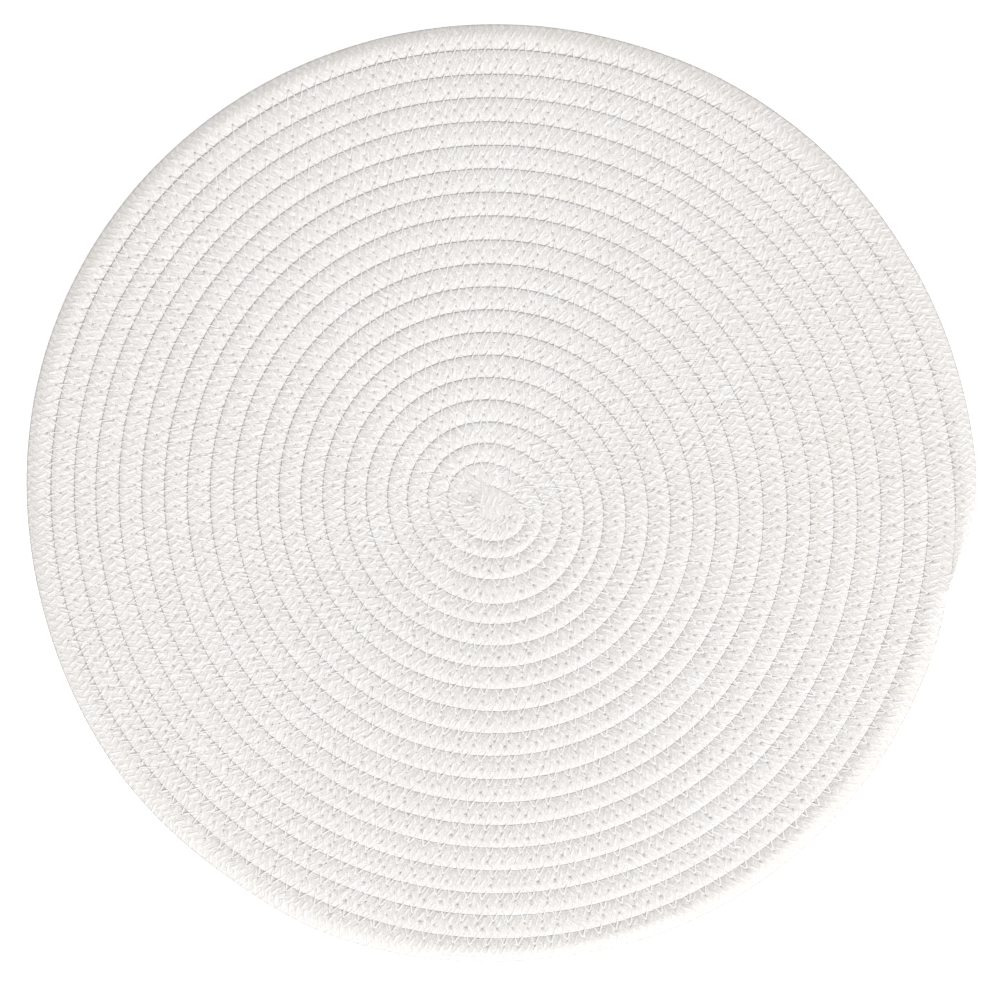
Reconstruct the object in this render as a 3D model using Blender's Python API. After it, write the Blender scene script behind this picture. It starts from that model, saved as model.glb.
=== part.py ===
"""A round placemat made of one braided cotton rope. Metres, +Z up.

The rope lies flat in a spiral, each turn pressed against the last and sewn to it. Seen from above,
the spiral opens clockwise. The mat is one solid: a web at mid height joins the turns, and a groove
follows the spiral on the top and on the underside. Each turn has a flat crown, so the mat lies flat.
The origin is on the table, under the middle of the outline.

A place along the rope is given in turns, counted inwards from the rope's outer end.
"""

import math

import bmesh
import bpy

# The rope
THICKNESS = 0.006  # height of the rope, pressed flat by the sewing
WEB = 0.0024  # height of what joins two turns, under and over the grooves
FLANK = 0.25  # share of the rope's width that slopes down to each groove
RIM_BULGE = 0.0005  # how far the rim stands out at mid height

# The winding
REACH = 0.1939  # from the middle of the outer turns to the rim, at the rope's outer end
PITCH = 0.00968  # how far the first turn moves in
PITCH_EASING = 0.0000257  # how much of that is given back, by the square of the turns
OVAL = 0.0014  # how far the turns stand out of round, along their long axis
OVAL_ANGLE = math.radians(137.5)
HEART_SHIFT = (-0.0028, -0.0033)  # middle of the innermost turns, from the middle of the rim
TURNS = 20.65  # where the groove runs out, in the heart of the coil

# The rope's outer end, which narrows to a point against the turn inside it
END_ANGLE = math.radians(-11.0)
END_TAPER = 0.043  # in turns
END_STEPS = 6

# How unevenly the rope was laid by hand: places along it, and how far its outer edge stands out there
UNEVEN = (
    # turns, millimetres
    (0.00, -0.2),
    (0.07, -0.2),
    (0.11, 0.2),
    (0.16, 1.1),
    (0.20, 1.1),
    (0.24, 0.4),
    (0.33, 0.0),
    (0.44, 0.4),
    (0.56, -1.2),
    (0.63, -0.3),
    (0.68, -0.7),
    (0.72, 0.7),
    (0.80, -1.3),
    (0.90, -0.6),
    (0.95, -0.2),
    (1.00, 1.2),
    (1.10, 0.3),
    (1.40, 0.1),
    (1.55, -0.6),
    (1.90, -0.4),
    (2.15, 0.2),
    (2.55, -0.5),
    (3.20, 0.2),
    (7.80, 0.5),
    (10.40, -0.2),
    (16.50, 0.0),
    (17.03, 1.1),
    (17.30, 0.1),
    (17.55, 0.7),
    (17.80, -0.7),
    (18.05, 1.4),
    (18.27, 0.4),
    (18.50, 1.1),
    (18.78, -0.6),
    (19.04, 2.3),
    (19.20, 0.9),
    (19.38, 1.6),
    (19.70, 1.1),
    (19.80, 0.9),
    (20.00, 3.6),
    (20.15, 1.2),
    (20.28, 1.3),
    (20.41, -2.0),
    (20.48, -1.6),
    (20.56, 0.4),
    (20.65, 1.7),
)

SAGITTA = 0.0003  # how far a straight step may cut inside the curve
MILLIMETRE = 0.001
FULL_TURN = 2.0 * math.pi
MID = THICKNESS / 2.0

COTTON = (0.86, 0.84, 0.80, 1.0)
ROUGHNESS = 0.95
SHARP_ANGLE = math.radians(50.0)


def clear_scene():
    for thing in list(bpy.data.objects):
        bpy.data.objects.remove(thing)


def eased(share):
    """A share from 0 to 1 that starts and ends gently."""
    share = min(max(share, 0.0), 1.0)
    return share * share * (3.0 - 2.0 * share)


def stand_out(turns):
    """How far the hand-laid rope stands out of the even winding, in metres."""
    for (here, before), (there, after) in zip(UNEVEN, UNEVEN[1:]):
        if turns <= there:
            share = eased((turns - here) / (there - here))
            return (before + (after - before) * share) * MILLIMETRE
    return UNEVEN[-1][1] * MILLIMETRE


def centre(turns):
    """The middle of the winding, which creeps from the rim's middle to the heart's."""
    share = turns / TURNS
    return HEART_SHIFT[0] * share, HEART_SHIFT[1] * share


def even_reach(turns):
    """How far from the middle of the turns an evenly wound rope's outer edge would lie."""
    return REACH - PITCH * turns + PITCH_EASING * turns**2


def laid_edge(turns):
    """The rope's outer edge as (x, y), with no regard to the taper of its outer end."""
    angle = END_ANGLE + FULL_TURN * turns
    reach = even_reach(turns) + OVAL * math.cos(2.0 * (angle - OVAL_ANGLE)) + stand_out(turns)
    x, y = centre(turns)
    return x + reach * math.cos(angle), y + reach * math.sin(angle)


def between(first, second, share):
    return tuple(a + (b - a) * share for a, b in zip(first, second))


def outer_edge(turns):
    """The rope's outer edge: the rim on the first turn, and a groove on the others."""
    if turns < END_TAPER:
        widened = math.sin(math.pi / 2.0 * turns / END_TAPER)
        return between(laid_edge(turns + 1.0), laid_edge(turns), widened)
    return laid_edge(turns)


def across(turns, share):
    """A point across the rope's width, from its outer edge at 0 to its inner edge at 1."""
    outer = outer_edge(turns)
    if turns <= TURNS - 1.0:
        return between(outer, laid_edge(turns + 1.0), share)
    width = PITCH - 2.0 * PITCH_EASING * turns
    middle = centre(turns)
    reach = math.dist(outer, middle)
    return between(outer, middle, share * width / reach)


def stations():
    """The places of the cross-sections, in turns, close together where the curve is tight."""
    stops = [0.0, END_TAPER] + [float(whole) for whole in range(1, int(TURNS))]
    stops += [TURNS - 1.0, TURNS]
    stops.sort()
    places = [0.0]
    for start, stop in zip(stops, stops[1:]):
        radius = even_reach((start + stop) / 2.0)
        step = math.sqrt(8.0 * SAGITTA / radius) / FULL_TURN
        count = END_STEPS if stop == END_TAPER else math.ceil((stop - start) / step)
        places += [start + (stop - start) * i / count for i in range(1, count + 1)]
    return places


def zip_rows(mesh, first, second):
    """Fills between two rows of (place, vertex) with triangles, always advancing the row behind."""
    i = j = 0
    while i + 1 < len(first) or j + 1 < len(second):
        second_done = j + 1 == len(second)
        first_behind = i + 1 < len(first) and (second_done or first[i + 1][0] <= second[j + 1][0])
        if first_behind:
            mesh.faces.new((first[i][1], first[i + 1][1], second[j][1]))
            i += 1
        else:
            mesh.faces.new((first[i][1], second[j + 1][1], second[j][1]))
            j += 1


def strip(mesh, first, second):
    """Fills between two rows of equally many vertices with quads."""
    for a, b, c, d in zip(first, first[1:], second[1:], second):
        mesh.faces.new((a, b, c, d))


def crown_height(place):
    """Height of the crown over mid height: the outer end of the rope is thinner."""
    return MID * math.sqrt(min(place / END_TAPER, 1.0))


def groove_height(place):
    """Height of a groove over mid height: it runs out to the crown in the heart of the coil."""
    run_out = eased((place - (TURNS - 0.25)) / 0.25)
    return WEB / 2.0 + (MID - WEB / 2.0) * run_out


def add_face(mesh, places, side):
    """The top (side 1) or the underside (side -1) of the coil. Returns the edge's vertices."""

    def vertex(point, height):
        return mesh.verts.new((point[0], point[1], MID + side * height))

    one_turn = places.index(1.0)
    last_crown = places.index(TURNS - 1.0)
    edge = [vertex(outer_edge(place), groove_height(place)) for place in places]
    mesh.verts.remove(edge[one_turn])
    edge[one_turn] = edge[0]
    outer = [vertex(across(place, FLANK), crown_height(place)) for place in places[1:]]
    inner_places = places[1 : last_crown + 1]
    inner = [vertex(across(place, 1.0 - FLANK), crown_height(place)) for place in inner_places]

    tip = edge[0]
    mesh.faces.new((tip, edge[1], outer[0]))
    mesh.faces.new((tip, outer[0], inner[0]))
    strip(mesh, edge[1:], outer)
    strip(mesh, outer[: len(inner)], inner)
    next_edge = [(place - 1.0, v) for place, v in zip(places[one_turn:], edge[one_turn:])]
    zip_rows(mesh, list(zip(inner_places, inner)), next_edge)
    heart = outer[last_crown - 1 :] + [edge[-1], inner[-1]]
    mesh.faces.new(heart)
    return edge[: one_turn + 1]


def add_rim(mesh, places, top, under):
    """The outer wall, fullest at mid height, from the rope's end once round to it again."""
    middle = []
    for place in places[: len(top) - 1]:
        x, y = outer_edge(place)
        bulge = RIM_BULGE * min(place / END_TAPER, 1.0) / math.hypot(x, y)
        middle.append(mesh.verts.new((x + x * bulge, y + y * bulge, MID)))
    middle.append(middle[0])
    strip(mesh, middle, top)
    strip(mesh, under, middle)


def centre_outline(mesh):
    """Moves the mat so that the middle of its outline is over the origin."""
    for axis in (0, 1):
        reaches = [v.co[axis] for v in mesh.verts]
        shift = (max(reaches) + min(reaches)) / 2.0
        for v in mesh.verts:
            v.co[axis] -= shift


def cotton_material():
    material = bpy.data.materials.new("cotton_rope")
    material.use_nodes = True
    shader = material.node_tree.nodes["Principled BSDF"]
    shader.inputs["Base Color"].default_value = COTTON
    shader.inputs["Roughness"].default_value = ROUGHNESS
    shader.inputs["Metallic"].default_value = 0.0
    return material


def make_rope_coil():
    places = stations()
    mesh = bmesh.new()
    top = add_face(mesh, places, 1)
    under = add_face(mesh, places, -1)
    add_rim(mesh, places, top, under)
    centre_outline(mesh)
    bmesh.ops.triangulate(mesh, faces=mesh.faces[:])
    bmesh.ops.recalc_face_normals(mesh, faces=mesh.faces[:])
    data = bpy.data.meshes.new("rope_coil")
    mesh.to_mesh(data)
    mesh.free()
    data.shade_smooth()
    data.set_sharp_from_angle(angle=SHARP_ANGLE)
    data.materials.append(cotton_material())
    coil = bpy.data.objects.new("rope_coil", data)
    bpy.context.scene.collection.objects.link(coil)
    return coil


clear_scene()
make_rope_coil()
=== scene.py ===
"""Looks of a round placemat: one braided cotton rope, wound flat in a spiral and sewn turn to turn.

The rope lies flat, each turn pressed against the last. Seen from above, the spiral opens clockwise.
A place along the rope is given in turns, counted inwards from the rope's outer end. A place across it
is given as a share of its width, from its outer edge at 0 to its inner edge at 1. Metres, +Z up.
"""

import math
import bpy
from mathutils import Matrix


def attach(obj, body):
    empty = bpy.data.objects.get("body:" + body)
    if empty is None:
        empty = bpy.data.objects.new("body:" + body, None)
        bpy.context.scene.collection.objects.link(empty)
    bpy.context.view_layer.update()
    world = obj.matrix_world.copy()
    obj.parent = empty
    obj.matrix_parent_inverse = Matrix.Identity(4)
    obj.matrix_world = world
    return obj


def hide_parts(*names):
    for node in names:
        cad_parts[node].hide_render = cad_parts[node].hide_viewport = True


bl_info = {
    "name": "Rope Placemat",
    "version": (1, 0, 0),
    "blender": (4, 5, 0),
    "location": "View3D > Sidebar > Placemat",
    "description": "Makes a coiled and sewn cotton rope placemat around its solid model",
    "category": "Object",
}

import bpy
import numpy as np
from bpy.props import FloatProperty, FloatVectorProperty, IntProperty, PointerProperty
from mathutils import Vector

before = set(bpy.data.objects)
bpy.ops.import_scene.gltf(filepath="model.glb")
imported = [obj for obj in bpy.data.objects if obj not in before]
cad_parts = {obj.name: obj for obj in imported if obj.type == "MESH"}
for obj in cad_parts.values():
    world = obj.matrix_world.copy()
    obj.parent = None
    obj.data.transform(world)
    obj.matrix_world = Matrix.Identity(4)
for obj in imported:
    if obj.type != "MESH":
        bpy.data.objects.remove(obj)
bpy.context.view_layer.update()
BODY = "root"
ROPE_NODE = "rope_coil"

MILLIMETRE = 0.001
FULL_TURN = 2.0 * math.pi

# The winding, as in the solid model
THICKNESS = 0.006  # height of the rope, pressed flat by the sewing
MID = THICKNESS / 2.0
RIM_BULGE = 0.0005  # how far the rim stands out at mid height
REACH = 0.1939  # from the middle of the outer turns to the rim, at the rope's outer end
PITCH = 0.00968  # how far the first turn moves in
PITCH_EASING = 0.0000257  # how much of that is given back, by the square of the turns
ROPE_WIDTH = PITCH * 0.97  # the turns' mean width
OVAL = 0.0014  # how far the turns stand out of round, along their long axis
OVAL_ANGLE = math.radians(137.5)
HEART_SHIFT = (-0.0028, -0.0033)  # middle of the innermost turns, from the middle of the rim
TURNS = 20.65  # where the solid model's groove runs out, in the heart of the coil
END_ANGLE = math.radians(-11.0)
END_TAPER = 0.043  # in turns: how long the rope's outer end takes to reach its full width

# The heart of the coil: the rope's start lies straight, and the rope turns back round it
LAST_FULL_TURN = TURNS - 1.0  # where the rope's inner edge leaves the groove for the crease
ROPE_TURNS = 20.33  # the rope's cut end, which butts against the turn round it
CREASE_END = (0.0081, -0.0036)  # from the middle of the heart to the crease's end, where the rope turns back
CREASE_THERE = 19.86  # where the rope's inner edge reaches the crease's end
CREASE_BACK = 20.06  # where it leaves it again
CREASE_ROUND = 0.03  # share of the crease's length by which the rope swings wide round its end
CREASE_BOW = 0.0012  # how far the crease bows down
CREASE_FILLED = 0.78  # share of a groove's depth that the crease lacks
RUN_OUT = 0.15  # in turns: how long the groove takes to run out by the rope's cut end
HEART_START = 18.6  # from where on the grooves are uneven
HEART_FILLED = 0.4  # share of a groove's depth that they lack at most
START_FILLED = 0.75  # share of a groove's depth that the groove outside the rope's cut end lacks
START_FADE = 0.06  # in turns: how long it takes to lose it
CUT_END = (-0.0077, 0.0043)  # from the middle of the heart to the middle of the rope's frayed cut end
CUT_REACH = 0.0030  # from there to the fray's edge
CUT_DEPTH = 0.0005  # how deep the rope is sunk between the yarn ends

# The needle holes of the first stitches, in the heart of the coil, from its middle
HEART_HOLES = (
    # across, away from the viewer, in millimetres
    (-8.6, 10.4),
    (-10.6, 3.8),
    (-8.4, 3.2),
    (-5.4, 0.2),
    (6.2, -3.2),
    (4.8, -7.4),
)

# How unevenly the rope was laid by hand: places along it, and how far its outer edge stands out there
UNEVEN = (
    # turns, millimetres
    (0.00, -0.2),
    (0.07, -0.2),
    (0.11, 0.2),
    (0.16, 1.1),
    (0.20, 1.1),
    (0.24, 0.4),
    (0.33, 0.0),
    (0.44, 0.4),
    (0.56, -1.2),
    (0.63, -0.3),
    (0.68, -0.7),
    (0.72, 0.7),
    (0.80, -1.3),
    (0.90, -0.6),
    (0.95, -0.2),
    (1.00, 1.2),
    (1.10, 0.3),
    (1.40, 0.1),
    (1.55, -0.6),
    (1.90, -0.4),
    (2.15, 0.2),
    (2.55, -0.5),
    (3.20, 0.2),
    (7.80, 0.5),
    (10.40, -0.2),
    (16.50, 0.0),
    (17.03, 1.1),
    (17.30, 0.1),
    (17.55, 0.7),
    (17.80, -0.7),
    (18.05, 1.4),
    (18.27, 0.4),
    (18.50, 1.1),
    (18.78, -0.6),
    (19.04, 2.3),
    (19.20, 0.9),
    (19.38, 1.6),
    (19.70, 1.1),
    (19.80, 0.9),
    (20.00, 3.6),
    (20.15, 1.2),
    (20.28, 1.3),
    (20.41, -2.0),
    (20.48, -1.6),
    (20.56, 0.4),
    (20.65, 1.7),
)

# How far the rope bulges at the rim, beyond the solid model's bulge
RIM_BULGES = (
    # turns, millimetres
    (0.00, 0.8),
    (0.03, 0.4),
    (0.09, 0.8),
    (0.17, 0.65),
    (0.22, 0.2),
    (0.28, 0.0),
    (0.45, 0.0),
    (0.50, 0.4),
    (0.60, 0.3),
    (0.64, 0.7),
    (0.75, 0.3),
    (0.81, 0.4),
    (0.84, 0.9),
    (1.00, 0.9),
)

BRAID_MAP = "Braid"
HOLE_MAP = "Holes"
YARN_MAP = "Yarn"


# ---------------------------------------------------------------- sizes and colours


class RopeSettings(bpy.types.PropertyGroup):
    """The braided rope"""

    ring_spacing: FloatProperty(
        name="Ring spacing", description="Between two cross-sections", default=0.00085, unit="LENGTH"
    )
    lengths: IntProperty(name="Lengths", description="Pieces the rope is kept in", default=4)
    inner_drop: FloatProperty(
        name="Inner drop", description="From the crown to the inner edge", default=0.00112, unit="LENGTH"
    )
    rim_inner_drop: FloatProperty(
        name="Rim inner drop", description="The same on the outermost turn", default=0.0014, unit="LENGTH"
    )
    inner_power: FloatProperty(
        name="Inner power", description="Of the inner half: 1 is flat, 2 is round", default=2.1
    )
    inner_width: FloatProperty(
        name="Inner width", description="Share of the inner half that falls into the groove", default=0.05
    )
    outer_drop: FloatProperty(
        name="Outer drop", description="From the crown to the outer edge", default=0.00078, unit="LENGTH"
    )
    outer_power: FloatProperty(name="Outer power", description="The same of the outer half", default=3.0)
    outer_width: FloatProperty(name="Outer width", description="The same of the outer half", default=0.07)
    rim_drop: FloatProperty(
        name="Rim drop", description="From the crown to the rim's edge", default=0.0020, unit="LENGTH"
    )
    rim_power: FloatProperty(
        name="Rim power", description="The same of the outer half at the rim", default=2.0
    )
    rim_width: FloatProperty(
        name="Rim width", description="Share of the outer half that falls to the table", default=0.11
    )
    groove_depth: FloatProperty(
        name="Groove depth", description="Down to where two turns touch", default=0.0015, unit="LENGTH"
    )
    strands: IntProperty(name="Strands", description="Strands in the braid", default=8)
    plait: FloatProperty(
        name="Plait", description="Length of one plait along the rope", default=0.0032, unit="LENGTH"
    )
    plait_depth: FloatProperty(
        name="Plait depth", description="Depth of the valleys between strands", default=0.00030, unit="LENGTH"
    )
    yarns: IntProperty(name="Yarns", description="Yarns side by side in a strand", default=2)
    yarn_depth: FloatProperty(
        name="Yarn depth", description="Depth of the valleys between yarns", default=0.00019, unit="LENGTH"
    )
    yarn_ends: IntProperty(name="Yarn ends", description="Loose ones at the rope's cut end", default=150)
    yarn_thickness: FloatProperty(
        name="Yarn thickness", description="Across a loose yarn", default=0.00038, unit="LENGTH"
    )
    twist: FloatProperty(
        name="Twist", description="Turns that the laid rope twists in one metre", default=0.55
    )


class SewingSettings(bpy.types.PropertyGroup):
    """The zigzag seam between two turns"""

    stitch: FloatProperty(
        name="Stitch", description="Length of one zigzag along the seam", default=0.0064, unit="LENGTH"
    )
    outer_hole: FloatProperty(
        name="Outer hole", description="Place across the rope outside the seam", default=0.70
    )
    inner_hole: FloatProperty(
        name="Inner hole", description="Place across the rope inside the seam", default=0.43
    )
    lean: FloatProperty(
        name="Lean", description="Place of the outer hole between two inner ones", default=0.39
    )
    hole_depth: FloatProperty(
        name="Hole depth", description="Of the dent round a needle hole", default=0.0005, unit="LENGTH"
    )
    hole_radius: FloatProperty(name="Hole radius", description="Of that dent", default=0.00045, unit="LENGTH")
    pull_depth: FloatProperty(
        name="Pull depth", description="How far the thread sinks the crown", default=0.00002, unit="LENGTH"
    )
    shoulder_pull: FloatProperty(
        name="Shoulder pull", description="How far it sinks the rope's shoulder",
        default=0.00016, unit="LENGTH"
    )
    pull_width: FloatProperty(
        name="Pull width", description="How far from the thread the rope sinks",
        default=0.00055, unit="LENGTH"
    )
    thread: FloatProperty(
        name="Thread", description="Width of the sewing thread", default=0.00050, unit="LENGTH"
    )
    thread_height: FloatProperty(
        name="Thread height", description="Over the yarns beside it", default=0.00013, unit="LENGTH"
    )
    thread_dip: FloatProperty(
        name="Thread dip", description="How far it dips over a groove", default=0.00048, unit="LENGTH"
    )
    thread_sink: FloatProperty(
        name="Thread sink", description="How deep it lies in the cotton", default=0.00027, unit="LENGTH"
    )
    thread_end: FloatProperty(
        name="Thread end", description="How deep it ends in a needle hole", default=0.0011, unit="LENGTH"
    )


class FinishSettings(bpy.types.PropertyGroup):
    """Colours of the cotton and the thread, and of the shade painted in the valleys and needle holes"""

    cotton: FloatVectorProperty(
        name="Cotton", description="The rope's yarn", subtype="COLOR", default=(0.93, 0.926, 0.917)
    )
    # Painted shade in the valleys between yarns and strands, mixed with random tone
    valley: FloatVectorProperty(
        name="Valley", description="Between the yarns", subtype="COLOR", default=(0.80, 0.76, 0.716)
    )
    # Painted shade in the needle holes and the folds that run to them
    hole: FloatVectorProperty(
        name="Hole", description="In the needle holes", subtype="COLOR", default=(0.50, 0.44, 0.37)
    )
    thread: FloatVectorProperty(
        name="Thread", description="The sewing thread", subtype="COLOR", default=(0.945, 0.942, 0.933)
    )


class StageSettings(bpy.types.PropertyGroup):
    """Floor, light and camera"""

    view_width: FloatProperty(
        name="View width", description="Width that the picture shows", default=0.4025, unit="LENGTH"
    )
    aim_x: FloatProperty(
        name="Aim X", description="Middle of the picture, to the right", default=-0.0006, unit="LENGTH"
    )
    aim_y: FloatProperty(
        name="Aim Y", description="The same, away from the viewer", default=-0.0029, unit="LENGTH"
    )
    aim_z: FloatProperty(
        name="Aim Z", description="Height that the width is taken at", default=0.0045, unit="LENGTH"
    )
    lens: FloatProperty(name="Lens", description="Focal length in millimetres", default=200.0)
    key_azimuth: FloatProperty(
        name="Key azimuth", description="From +X, round to the light", subtype="ANGLE",
        default=math.radians(-65.0)
    )
    key_height: FloatProperty(
        name="Key height", description="From the floor up to the light", subtype="ANGLE",
        default=math.radians(49.0)
    )
    key_distance: FloatProperty(
        name="Key distance", description="From the mat to the light", default=4.6, unit="LENGTH"
    )
    key_size: FloatProperty(name="Key size", description="Across the soft light", default=3.8, unit="LENGTH")
    key_strength: FloatProperty(
        name="Key strength", description="Light that falls on the mat, face on", default=2.6
    )
    sky_strength: FloatProperty(name="Sky strength", description="Light from all round", default=0.533)


SETTINGS = {
    "placemat_rope": RopeSettings,
    "placemat_sewing": SewingSettings,
    "placemat_finish": FinishSettings,
    "placemat_stage": StageSettings,
}


# ---------------------------------------------------------------- the winding


def eased(share):
    """A share from 0 to 1 that starts and ends gently."""
    share = np.clip(share, 0.0, 1.0)
    return share * share * (3.0 - 2.0 * share)


def stand_out(turns):
    """How far the hand-laid rope stands out of the even winding, in metres."""
    places, distances = np.array(UNEVEN).T
    row = np.clip(np.searchsorted(places, turns) - 1, 0, len(places) - 2)
    share = eased((turns - places[row]) / (places[row + 1] - places[row]))
    return (distances[row] + (distances[row + 1] - distances[row]) * share) * MILLIMETRE


def centre(turns):
    """The middle of the winding, which creeps from the rim's middle to the heart's."""
    return np.multiply.outer(turns / TURNS, HEART_SHIFT)


def laid_edge(turns):
    """The rope's outer edge, with no regard to the taper of its outer end."""
    angle = END_ANGLE + FULL_TURN * turns
    even = REACH - PITCH * turns + PITCH_EASING * turns**2
    reach = even + OVAL * np.cos(2.0 * (angle - OVAL_ANGLE)) + stand_out(turns)
    return centre(turns) + np.stack((reach * np.cos(angle), reach * np.sin(angle)), axis=-1)


def outer_edge(turns):
    """The rope's outer edge: the rim on the first turn, and a groove on the others."""
    edge = laid_edge(turns)
    widened = np.sin(math.pi / 2.0 * np.clip(turns / END_TAPER, 0.0, 1.0))[..., None]
    return edge + (laid_edge(turns + 1.0) - edge) * (1.0 - widened) * (turns < END_TAPER)[..., None]


def inner_edge(turns):
    """The rope's inner edge: the next groove, and the crease it turns back round in the heart."""
    groove = laid_edge(np.minimum(turns + 1.0, ROPE_TURNS))
    corner, crease = laid_edge(np.array(ROPE_TURNS)), laid_edge(np.array(TURNS))
    past = np.clip((turns + 1.0 - ROPE_TURNS) / (TURNS - ROPE_TURNS), 0.0, 1.0)
    groove = groove + (crease - corner) * past[..., None]
    end = centre(np.array(TURNS)) + np.array(CREASE_END)
    there = (turns - LAST_FULL_TURN) / (CREASE_THERE - LAST_FULL_TURN)
    back = (ROPE_TURNS - turns) / (ROPE_TURNS - CREASE_BACK)
    share = np.clip(np.minimum(there, back), 0.0, 1.0)
    held = np.clip((turns - CREASE_THERE) / (CREASE_BACK - CREASE_THERE), 0.0, 1.0)
    share = share + CREASE_ROUND * np.sin(math.pi * held)
    turned = crease + (end - crease) * share[..., None]
    turned[..., 1] -= CREASE_BOW * np.sin(math.pi * np.minimum(share, 1.0))
    return np.where((turns > LAST_FULL_TURN)[..., None], turned, groove)


def rim_shift():
    """The middle of the rim's box, which lies over the origin."""
    turns = np.linspace(0.0, 1.0, 4001)
    rim = outer_edge(turns)
    bulge = RIM_BULGE * np.clip(turns / END_TAPER, 0.0, 1.0) / np.linalg.norm(rim, axis=1)
    rim = rim * (1.0 + bulge[:, None])
    return (rim.max(axis=0) + rim.min(axis=0)) / 2.0


def run_along(line):
    """Length run along a line at each of its points."""
    steps = np.linalg.norm(np.diff(line, axis=0), axis=1)
    return np.concatenate(([0.0], np.cumsum(steps)))


def wander(run, step, seed):
    """A smooth random walk between -1 and 1 along the rope, a new value every step."""
    values = np.random.default_rng(seed).uniform(-1.0, 1.0, int(run.max() / step) + 3)
    place = run / step
    row = place.astype(int)
    return values[row] + (values[row + 1] - values[row]) * eased(place - row)


def cut_end_middle():
    """The middle of the rope's frayed cut end, as the mat lies."""
    return centre(np.array(TURNS)) + np.array(CUT_END) - rim_shift()


# ---------------------------------------------------------------- the seam between two turns

SEAM_TURNS = np.linspace(1.0, ROPE_TURNS, 60001)
SEAM_RUN = run_along(laid_edge(SEAM_TURNS))


def seam_run(turns):
    """Length run along the seam in the groove, at a place in turns."""
    return np.interp(turns, SEAM_TURNS, SEAM_RUN)


FIRST_STITCH = 1.2  # in stitches from where the seam starts
HOLE_WANDER = 0.06  # how unevenly the holes lie along the seam, in stitches
INNER_WANDER, OUTER_WANDER = 0.030, 0.022  # and across it, as shares of the rope's width
INNER_SIZES = (0.90, 0.40, 0.25, 1.5)  # of the holes: mean, spread, least and most
OUTER_SIZES = (0.75, 0.35, 0.2, 1.3)
SHOULDER = 0.0016  # how far from the groove the rope's shoulder reaches
SQUEEZED = 0.22  # share of a groove's depth that it lacks where the thread crosses it
SQUEEZE_REACH = 0.0006  # how far along the groove from the thread
STRAND_ANGLE = math.radians(60.0)  # from the rope's direction to its strands, one way and the other


class Seam:
    """The needle holes of the zigzag, a pair for each stitch, a little uneven."""

    def __init__(self, sewing):
        count = int(SEAM_RUN[-1] / sewing.stitch) - 2
        rng = np.random.default_rng(11)
        uneven = rng.normal(0.0, 1.0, (6, count)).clip(-2.0, 2.0)
        index = np.arange(count) + FIRST_STITCH
        self.stitch = sewing.stitch
        self.inner_run = (index + HOLE_WANDER * uneven[0]) * sewing.stitch
        self.outer_run = (index + sewing.lean + HOLE_WANDER * uneven[1]) * sewing.stitch
        self.inner_side = (sewing.inner_hole + INNER_WANDER * uneven[2]) * ROPE_WIDTH
        self.outer_side = -(1.0 - sewing.outer_hole + OUTER_WANDER * uneven[3]) * ROPE_WIDTH
        self.inner_size, self.outer_size = (
            (mean + spread * draw).clip(least, most)
            for (mean, spread, least, most), draw in zip((INNER_SIZES, OUTER_SIZES), uneven[4:])
        )

    def nearest(self, runs, run):
        """The number of the hole nearest to each place along the seam."""
        guess = np.clip(np.round((run - runs[0]) / self.stitch).astype(int), 0, len(runs) - 1)
        best = guess
        for step in (-1, 1):
            other = np.clip(guess + step, 0, len(runs) - 1)
            best = np.where(np.abs(runs[other] - run) < np.abs(runs[best] - run), other, best)
        return best

    def legs(self):
        """The inner and outer end of every leg of the zigzag, as (run, side) pairs."""
        inner = np.stack((self.inner_run, self.inner_side), axis=-1)
        outer = np.stack((self.outer_run, self.outer_side), axis=-1)
        there = np.stack((inner, outer), axis=1)
        back = np.stack((inner[1:], outer[:-1]), axis=1)
        return there, back

    def leg_distance(self, run, side):
        """Distance from a place by the seam to the nearest leg."""
        place = np.stack((run, side), axis=-1)
        best = np.full(run.shape, 1.0)
        for legs in self.legs():
            guess = np.round((run - legs[0, :, 0].mean()) / self.stitch).astype(int)
            for step in (-1, 0, 1):
                leg = legs[np.clip(guess + step, 0, len(legs) - 1)]
                start, way = leg[..., 0, :], leg[..., 1, :] - leg[..., 0, :]
                share = ((place - start) * way).sum(-1) / (way * way).sum(-1)
                foot = start + way * share.clip(0.0, 1.0)[..., None]
                best = np.minimum(best, np.linalg.norm(place - foot, axis=-1))
        return best


def seam_relief(seam, sewing, run, side):
    """How deep the sewing sinks the rope, by the seam. Side is over 0 on the rope inside the seam."""
    depth = np.zeros(run.shape)
    for hole_run, hole_side, size in (
        (seam.inner_run, seam.inner_side, seam.inner_size),
        (seam.outer_run, seam.outer_side, seam.outer_size),
    ):
        near = seam.nearest(hole_run, run)
        away = np.hypot(run - hole_run[near], side - hole_side[near])
        dent = sewing.hole_depth * size[near] * np.exp(-((away / sewing.hole_radius) ** 2) / 2.0)
        depth = np.maximum(depth, dent)
    shoulder = np.exp(-((side / SHOULDER) ** 2))
    pull = sewing.pull_depth + (sewing.shoulder_pull - sewing.pull_depth) * shoulder
    away = seam.leg_distance(run, side)
    return np.maximum(depth, pull * np.exp(-((away / sewing.pull_width) ** 2) / 2.0))


# ---------------------------------------------------------------- meshes from rows of points


def corners(grid):
    """For a grid of values at (rows, columns), the values at the four corners of each face."""
    return np.stack((grid[:-1, :-1], grid[:-1, 1:], grid[1:, 1:], grid[1:, :-1]), axis=2)


def tube_corners(grid):
    """The same for many tubes, where the grid is (tubes, rows, columns)."""
    return np.stack((grid[:, :-1, :-1], grid[:, :-1, 1:], grid[:, 1:, 1:], grid[:, 1:, :-1]), axis=3)


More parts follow.
